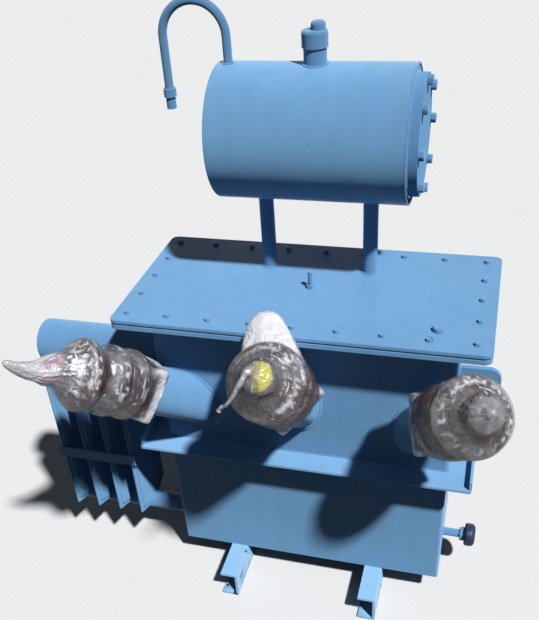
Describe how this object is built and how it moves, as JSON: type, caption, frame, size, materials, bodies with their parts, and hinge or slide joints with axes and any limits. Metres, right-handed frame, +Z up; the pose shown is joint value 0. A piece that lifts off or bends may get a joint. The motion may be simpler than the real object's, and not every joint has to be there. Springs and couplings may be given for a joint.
{
  "type": "distribution transformer",
  "caption": "Small oil-filled distribution transformer: box tank, bolted cover, slanted porcelain bushings in film, drum conservator, fin radiator.",
  "frame": {"origin": "on the ground, midway between the side walls and midway between the front and back walls of the tank", "axes": "+Z up; -Y is the front with the high voltage bushings; +X is the side with the drain plug"},
  "size_m": [0.9143, 0.5767, 1.135],
  "materials": {
    "blue_paint": "semi-gloss light blue paint",
    "bare_steel": "dull zinc plated steel",
    "dark_steel": "dark worn paint on cast iron",
    "brown_glaze": "glossy dark brown glaze",
    "clear_film": "clear wrinkled stretch film",
    "cork_gasket": "cork sheet with paint over its edge",
    "brass": "dull brass"
  },
  "bodies": {
    "root": {"base_channel_left": "blue_paint", "base_channel_right": "blue_paint", "tank_shell": "blue_paint", "tank_rim": "blue_paint", "cover_gasket": "cork_gasket", "top_cover": "blue_paint", "stiffening_band": "blue_paint", "turret_left": "blue_paint", "turret_middle": "blue_paint", "turret_right": "blue_paint", "bushing_flange_left": "bare_steel", "bushing_flange_middle": "bare_steel", "bushing_flange_right": "bare_steel", "porcelain_left": "brown_glaze", "porcelain_middle": "brown_glaze", "porcelain_right": "brown_glaze", "terminal_cap_left": "bare_steel", "terminal_cap_middle": "bare_steel", "terminal_cap_right": "bare_steel", "stretch_film": "clear_film", "lv_porcelain": "brown_glaze", "lv_terminals": "brass", "conservator_shell": "blue_paint", "conservator_left_end": "blue_paint", "conservator_right_end": "blue_paint", "conservator_end_ring": "blue_paint", "conservator_end_cover": "blue_paint", "support_pipe_left": "blue_paint", "support_pipe_right": "blue_paint", "filler_neck": "blue_paint", "filler_cap": "blue_paint", "breather_pipe": "blue_paint", "breather_socket": "blue_paint", "radiator_upper_pipe": "blue_paint", "radiator_lower_pipe": "blue_paint", "radiator_fin_1": "blue_paint", "radiator_fin_2": "blue_paint", "radiator_fin_3": "blue_paint", "radiator_fin_4": "blue_paint", "radiator_tie": "blue_paint", "lifting_lug_left": "blue_paint", "lifting_lug_right": "blue_paint", "drain_pipe": "blue_paint", "drain_knob": "dark_steel", "cover_stud": "blue_paint", "thermometer_plug": "blue_paint"}
  },
  "joints": []
}
